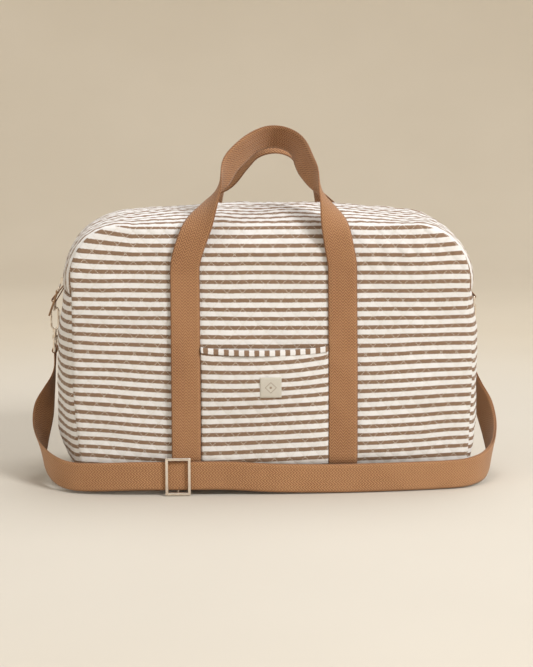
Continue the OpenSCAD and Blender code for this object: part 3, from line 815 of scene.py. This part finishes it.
def binding():
    """The strip of striped cloth folded over the mouth: it goes round the edge of the pocket."""
    x = np.linspace(POCKET_X0, POCKET_X1, 80)
    low, high = binding_low[2] - 0.8, MOUTH_Z
    turn = np.radians(np.linspace(0, 180, 9))
    middle = high - 2.4
    profile = [(z, 4.1) for z in np.linspace(low, middle, 5)]
    profile += [(middle + 2.4 * np.sin(a), 1.7 + 2.4 * np.cos(a)) for a in turn[1:-1]]
    profile += [(z, -0.7) for z in np.linspace(middle, low, 5)]
    profile = np.array(profile)
    length = path_length(profile)
    wave = 0.35 * ripple(x, 0 * x, 91, 26)
    rows = []
    uvs = []
    for (z, off), s in zip(profile, length):
        rows.append(pocket_points(x, np.full_like(x, z), off + wave))
        uvs.append(np.stack([0 * x + s, x], -1))
    outer = np.array(rows)
    inner_rows = []
    for z, off in profile:
        inner_rows.append(pocket_points(x, np.full_like(x, min(z, high - 1.2)), mix(off, 1.7, 0.45) + wave))
    obj = thick_sheet("pocket_binding_strip", outer, np.array(inner_rows), np.array(uvs), binding_cloth)
    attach(obj, "bag")
    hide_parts("pocket_binding")


def label():
    x = np.linspace(label_low[0], label_high[0], 25)
    z = np.linspace(label_low[2], label_high[2], 25)
    zz, xx = np.meshgrid(z, x, indexing="ij")
    half = (label_high[0] - label_low[0]) / 2
    cx, cz = (label_low[0] + label_high[0]) / 2, (label_low[2] + label_high[2]) / 2
    edge = half - np.maximum(np.abs(xx - cx), np.abs(zz - cz))
    off = 5.2 - 0.9 * np.exp(-edge / 1.2) + 0.25 * ripple(xx, zz, 95, 18)
    outer, inner = pocket_points(xx, zz, off), pocket_points(xx, zz, off - 0.8)
    uv = np.stack([xx - cx, zz - cz], -1)
    obj = thick_sheet("pocket_label_patch", outer, inner, uv, label_cloth)
    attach(obj, "bag")
    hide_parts("pocket_label")


pocket()
binding()
label()

# ---- handles ----

ARCH = [
    (101, -125.3, 301),
    (95.5, -125.3, 324),
    (88, -122, 348),
    (75, -109, 378),
    (59, -86, 407),
    (42, -56, 435),
    (23, -27, 453),
    (0, -16, 459),
]
ARCH_ACROSS = [
    (1, 0, 0),
    (1, 0.05, 0),
    (0.95, 0.3, 0),
    (0.4, 0.92, 0),
    (-0.4, 0.9, -0.1),
    (-0.45, 0.75, -0.45),
    (-0.15, 0.66, -0.72),
    (0, 0.62, -0.78),
]
BACK_DROP = 8.0
FRONT_LEAN = 20.0


def mirrored(points):
    return [(-x, y, z) for x, y, z in points[::-1]]


def handle(name, turned):
    leg = []
    for z in np.linspace(8, LEG_TOP + 3, 24):
        x = HANDLE_X + LEG_X
        leg.append((LEG_X, -(float(face_y(x, z)) + 3.7), z))
    half = leg + ARCH
    across = [(1, 0, 0)] * len(leg) + ARCH_ACROSS
    drop = BACK_DROP if turned else 0.0
    lean = 0.0 if turned else FRONT_LEAN
    path = spline(half + mirrored(half)[1:], 5)
    turn = spline(across + mirrored(across)[1:], 5)
    leaning = 0.45 * smooth((path[:, 2] - 300) / 110) + 0.55 * smooth((path[:, 2] - 420) / 39)
    path[:, 0] += HANDLE_X + lean * leaning
    path[:, 2] -= drop * smooth((path[:, 2] - 300) / 160)
    if turned:
        spin = np.array([-1, -1, 1])
        path, turn = path * spin, turn * spin
    obj = webbing(name, path, turn, WEBBING_W, HANDLE_T, shaded_handle_cloth, cup=0.0)
    body = "back_handle" if turned else "front_handle"
    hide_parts(body, body + "_legs")
    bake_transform(obj)
    return obj


handle("handle_webbing_front", False)
handle("handle_webbing_back", True)

# ---- shoulder strap ----

end_low, end_high = box_mm("right_strap_end")
RING_X = (end_low[0] + end_high[0]) / 2
RING_Y = (end_low[1] + end_high[1]) / 2
BAR_Z = (end_low[2] + end_high[2]) / 2
STRAP_TOP = end_low[2] - 0.3
ROUTE = [
    (RING_X, RING_Y, STRAP_TOP),
    (292.5, RING_Y, 140),
    (299, 24, 112),
    (308, 10, 82),
    (311, -20, 54),
    (304, -64, 34),
    (288, -102, 25),
    (267, -126, 21.5),
    (238, -138.5, 20),
    (160, -149, 20),
    (80, -153, 20),
    (0, -154, 22),
    (-60, -152, 25.5),
    (-120, -149.5, 25.5),
    (-180, -147, 25.5),
    (-236, -138, 23),
    (-266, -126, 23),
    (-288, -100, 27),
    (-305, -58, 37),
    (-310, -18, 56),
    (-307, 10, 84),
    (-299, 24, 113),
    (-292.5, RING_Y, 140),
    (-RING_X, RING_Y, STRAP_TOP),
]
RIGHT_TURN = [
    (0, 1, 0),
    (0, 1, 0),
    (-0.2, 1, -0.2),
    (-0.45, 0.9, -0.5),
    (-0.35, 0.7, -0.9),
    (-0.1, 0.4, -1),
    (0, 0.1, -1),
]
LEFT_TURN = [
    (0, 0.1, -1),
    (0.15, 0.35, -1),
    (0.55, 0.55, -0.8),
    (0.7, 0.7, -0.35),
    (0.35, 0.95, -0.1),
    (0, 1, 0),
    (0, 1, 0),
]
STRAP_ACROSS = RIGHT_TURN + [(0, 0, -1)] * 10 + LEFT_TURN


def strap():
    path = spline(ROUTE, 8)
    turn = spline(STRAP_ACROSS, 8)
    whole = webbing("shoulder_strap_webbing", path, turn, WEBBING_W - 0.6, STRAP_T, lit_strap_cloth)
    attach(whole, "strap")
    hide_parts("shoulder_strap")
    doubled = path[:, 0] > -108
    last = int(np.argmin(doubled)) if not doubled.all() else len(path)
    second, second_turn = path[:last], turn[:last]
    side, through = path_frames(second, second_turn)
    ease = smooth(np.minimum(np.arange(last), np.arange(last)[::-1]) / 8)[:, None]
    second = second - through * (STRAP_T + 0.35) * np.maximum(ease, 0.55)
    width = WEBBING_W - 0.9
    layer = webbing("shoulder_strap_return", second, second_turn, width, STRAP_T, lit_strap_cloth, start=7.0)
    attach(layer, "strap")


def strap_end(name, sign):
    """The fold of the strap round the low bar of its loop."""
    angles = np.radians(np.linspace(-80, 260, 40))
    thick = 1.7
    radius = (end_high[2] - end_low[2]) / 2 - 0.95
    x = sign * (RING_X + radius * np.cos(angles))
    path = np.stack([x, 0 * angles + RING_Y, BAR_Z + radius * np.sin(angles)], -1)
    turn = np.tile([0.0, 1.0, 0.0], (len(path), 1))
    obj = webbing(name, path, turn, WEBBING_W - 1, thick, lit_strap_cloth)
    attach(obj, "strap")
    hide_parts("right_strap_end" if sign > 0 else "left_strap_end")


strap()
strap_end("strap_fold_right", 1)
strap_end("strap_fold_left", -1)


# ---- D-ring tabs ----


def ring_tab(name, node, sign):
    """Webbing folded round the bar of the D-ring, both layers running up into the seam."""
    low, high = box_mm(node)
    bar = np.array([RING_X, high[2] - 20.2])
    up = unit(np.array([-14.3, 19.4]))
    out = np.array([up[1], -up[0]])
    radius = 2.95
    turn = np.radians(np.linspace(0, 180, 17))
    fold = [bar + radius * (out * np.cos(a) - up * np.sin(a)) for a in turn]
    top = bar + up * 24.0
    part_way = np.linspace(0, 1, 12)
    outer_layer = [mix(top + out * 0.95, bar + out * radius, t) for t in part_way[:-1]]
    inner_layer = [mix(bar - out * radius, top - out * 0.95, t) for t in part_way[1:]]
    flat = np.array(outer_layer + fold + inner_layer)
    centre_y = (low[1] + high[1]) / 2
    path = np.stack([sign * flat[:, 0], 0 * flat[:, 0] + centre_y, flat[:, 1]], -1)
    width = high[1] - low[1]
    across = np.tile([0.0, 1.0, 0.0], (len(path), 1))
    obj = webbing(name, path, across, width, 1.5, shaded_handle_cloth)
    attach(obj, "bag")
    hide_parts(node)


ring_tab("ring_tab_webbing_right", "right_ring_tab", 1)
ring_tab("ring_tab_webbing_left", "left_ring_tab", -1)

# ---- zip ----


def tape(name, node, turned):
    line = over_the_top(GUSSET_END + 4, 5.0)
    y = -np.linspace(3.3, 22.3, 8)[None, :] * np.ones((len(line), 1))
    off = np.full(y.shape, -4.6) + 0.2 * ripple(line_length(line)[:, None], y, 101, 60)
    outer = round_surface(line, y, off, turned)
    inner = round_surface(line, y, off - 0.8, turned)
    if turned:
        outer, inner = outer * np.array([-1, -1, 1]), inner * np.array([-1, -1, 1])
    s = line_length(line)
    uv = np.stack([np.broadcast_to(s[:, None], y.shape), y], -1)
    obj = thick_sheet(name, outer, inner, uv, tape_cloth)
    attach(obj, "bag")
    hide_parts(node)


TOOTH = np.array([(a, b, c) for a in (-1, 1) for b in (-1, 1) for c in (-1, 1)], float)
TOOTH_FACES = np.array([(0, 1, 3, 2), (4, 6, 7, 5), (0, 4, 5, 1), (2, 3, 7, 6), (0, 2, 6, 4), (1, 5, 7, 3)])


def coil(name, node, turned):
    """Row of coil turns: small rounded blocks that reach over the middle and mesh with the other row."""
    line = over_the_top(GUSSET_END + 4, 0.8)
    s = line_length(line)
    phase = 1.0 if turned else 0.0
    at = np.arange(s[0] + phase, s[-1] - 1, 2.0)
    centre = np.stack([np.interp(at, s, line[:, k]) for k in range(5)], -1)
    points = []
    faces = []
    for k, (x, z, nx, nz, out) in enumerate(centre):
        normal = np.array([nx, 0, nz])
        along = np.array([-nz, 0, nx])
        depth = np.array([0.0, 1.0, 0.0])
        middle = np.array([x, -1.35, z]) + normal * (out - 2.6)
        block = 0.55 * TOOTH[:, :1] * along + 1.65 * TOOTH[:, 1:2] * depth + 0.8 * TOOTH[:, 2:] * normal
        points.append(middle + block)
        faces.append(TOOTH_FACES + 8 * k)
    points = np.concatenate(points)
    if turned:
        points = points * np.array([-1, -1, 1])
    obj = make_object(name, points, np.concatenate(faces), points[:, :2], coil_plastic)
    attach(obj, "bag")
    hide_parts(node)
    shrink = obj.modifiers.new("round", "BEVEL")
    shrink.width = 0.00035
    shrink.segments = 2


tape("zip_tape_woven_front", "zip_tape_front", False)
tape("zip_tape_woven_back", "zip_tape_back", True)
coil("zip_teeth_front", "zip_coil_front", False)
coil("zip_teeth_back", "zip_coil_back", True)


def pull_tab():
    """Leather strip folded through the ring, glued flat and cut round at its end."""
    low, high = box_mm("zip_pull_tab")
    top = np.array([high[0] - 2.8, 0.0, high[2] - 2.7])
    tilt = np.radians(20)
    down = np.array([-np.sin(tilt), 0, -np.cos(tilt)])
    out = np.array([-np.cos(tilt), 0, np.sin(tilt)])
    layers = []
    uvs = []
    stations_down = np.concatenate([np.linspace(-2.6, 0, 6)[:-1], np.linspace(0, 35.2, 48)])
    count = 18
    angles = np.linspace(0, 2 * np.pi, 2 * count, endpoint=False)
    for d in stations_down:
        end = 35.2 - d
        half = 4.9 if end > 4.9 else np.sqrt(max(4.9**2 - (4.9 - end) ** 2, 0.05))
        if d < 5:
            half = mix(2.9, 4.9, smooth((d - 0.5) / 4.5))
        thick = 1.35 if d > 4 else mix(2.5, 1.35, smooth(d / 4))
        if d < 0:
            thick = np.sqrt(max(2.6**2 - d**2, 0.05))
        super_x = np.sign(np.cos(angles)) * np.abs(np.cos(angles)) ** 0.35
        super_y = np.sign(np.sin(angles)) * np.abs(np.sin(angles)) ** 0.5
        ring = top + down * d + np.outer(super_x * half, [0, 1, 0]) + np.outer(super_y * thick, out)
        layers.append(ring)
        uvs.append(np.stack([super_x * half, 0 * super_x + d], -1))
    n, m = len(layers), 2 * count
    faces = []
    for i in range(n - 1):
        for k in range(m):
            a, b = i * m + k, i * m + (k + 1) % m
            faces.append([a, b, b + m, a + m])
    faces.append(list(range(m)))
    faces.append([(n - 1) * m + k for k in range(m)])
    obj = make_object("zip_pull_leather", np.concatenate(layers), faces, np.concatenate(uvs), tan_leather)
    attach(obj, "zip_pull")
    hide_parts("zip_pull_tab")


pull_tab()

# ---- lining ----


def lining():
    """Inner bag: an open-topped shell of plain cloth that hangs from the gusset seam."""
    levels = np.concatenate([np.linspace(8, 35, 6), np.linspace(45, 320, 40)])
    count = 160
    around = np.linspace(0, 2 * np.pi, count, endpoint=False)
    rings = []
    uvs = []
    for z in levels:
        w, d = float(half_w(z)) - 7.5, float(half_d(z)) - 7.5
        square = 6.0
        radius = (np.abs(np.cos(around)) ** square + np.abs(np.sin(around)) ** square) ** (-1 / square)
        x, y = w * radius * np.cos(around), d * radius * np.sin(around)
        fold = 0.6 * ripple(around * 90, 0 * around + z, 111, 60)
        rings.append(np.stack([x * (1 - fold / 300), y * (1 - fold / 300), 0 * x + z], -1))
        uvs.append(np.stack([around * 240, 0 * around + z], -1))
    outer = np.concatenate(rings)
    inner = outer * np.array([0.996, 0.992, 1.0]) + np.array([0, 0, 0.9])
    n = len(levels)
    faces = []
    for first in (0, n * count):
        for i in range(n - 1):
            for k in range(count):
                a, b = first + i * count + k, first + i * count + (k + 1) % count
                faces.append([a, b, b + count, a + count])
        faces.append([first + k for k in range(count)])
    top = (n - 1) * count
    for k in range(count):
        a, b = top + k, top + (k + 1) % count
        faces.append([a, b, b + n * count, a + n * count])
    uv = np.concatenate(uvs + uvs)
    obj = make_object("lining_cloth", np.concatenate([outer, inner]), faces, uv, lining_cloth)
    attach(obj, "bag")
    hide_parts("lining")


lining()

# ---- hardware that keeps its CAD shape ----

HARDWARE = ["zip_end_stops", "zip_slider", "zip_pull_ring", "strap_slider"]
for side_name in ("left", "right"):
    HARDWARE += [side_name + piece for piece in ("_d_ring", "_hook", "_hook_gate", "_strap_loop")]
for node in HARDWARE:
    nodes[node].data.materials.clear()
    nodes[node].data.materials.append(nickel)
nodes["base_board"].data.materials.clear()
nodes["base_board"].data.materials.append(board_plastic)

# ---- studio ----


def bowl():
    """Seamless pale floor that curves up into a wall all round."""
    flat, wall, high = 2600.0, 4200.0, 4500.0
    turns = 96
    profile = [(r, 0.0) for r in (1, 150, 300, 450, 600, 800, 1100, 1500, 2000, flat)]
    curve = wall - flat
    for a in np.radians(np.linspace(6, 90, 15)):
        profile.append((flat + curve * np.sin(a), curve * (1 - np.cos(a))))
    profile += [(wall, mix(curve, high, t)) for t in (0.5, 1.0)]
    angles = np.linspace(0, 2 * np.pi, turns, endpoint=False)
    points = [np.stack([r * np.cos(angles), r * np.sin(angles), 0 * angles + z], -1) for r, z in profile]
    faces = []
    for i in range(len(profile) - 1):
        for k in range(turns):
            a, b = i * turns + k, i * turns + (k + 1) % turns
            faces.append([a, b, b + turns, a + turns])
    faces.append(list(range(turns)))
    s = Shader("studio_paper", 0.95)
    split = s.tree.nodes.new("ShaderNodeSeparateXYZ")
    s.give(split.inputs[0], s.place())
    square_x = s.math("POWER", split.outputs[0], 2.0)
    square_y = s.math("POWER", split.outputs[1], 2.0)
    radius = s.math("SQRT", s.math("ADD", square_x, square_y))
    mottle = s.noise(s.place(), 1.3, 3.0)
    # Painted shade: one paper, coloured in the floor's tone near the bag and in the backdrop's warmer tone
    # farther out, standing in for the shading of the sweep.
    paper = s.blend(s.ramp(mottle, 0.3, 0.7), (0.610, 0.545, 0.445, 1), (0.635, 0.570, 0.470, 1))
    near = s.blend(s.ramp(mottle, 0.3, 0.7), (0.590, 0.550, 0.485, 1), (0.610, 0.570, 0.505, 1))
    s.colour(s.blend(s.ramp(radius, 0.55, 1.6), near, paper))
    obj = make_object("studio_bowl", np.concatenate(points), faces, None, s.material, closed=False)


def area_light(name, place, size, power, colour):
    data = bpy.data.lights.new(name, "AREA")
    data.shape = "DISK"
    data.size = size
    data.energy = power
    data.color = colour
    obj = bpy.data.objects.new(name, data)
    obj.location = place
    obj.rotation_euler = (Vector((0, 0, 0.15)) - obj.location).to_track_quat("-Z", "Y").to_euler()
    scene.collection.objects.link(obj)


bowl()
area_light("key_light", (2.1, -2.3, 2.7), 1.1, 105, (1.0, 0.995, 0.985))
area_light("fill_light", (-2.4, -1.8, 1.6), 2.0, 12, (1.0, 0.995, 0.985))
area_light("wall_light", (0.6, 1.0, 3.4), 2.2, 46, (1.0, 0.995, 0.985))

world = bpy.data.worlds.new("studio_air")
scene.world = world
world.use_nodes = True
world.node_tree.nodes["Background"].inputs["Color"].default_value = (1.0, 0.995, 0.985, 1)
world.node_tree.nodes["Background"].inputs["Strength"].default_value = 0.72
scene.view_settings.view_transform = "Standard"
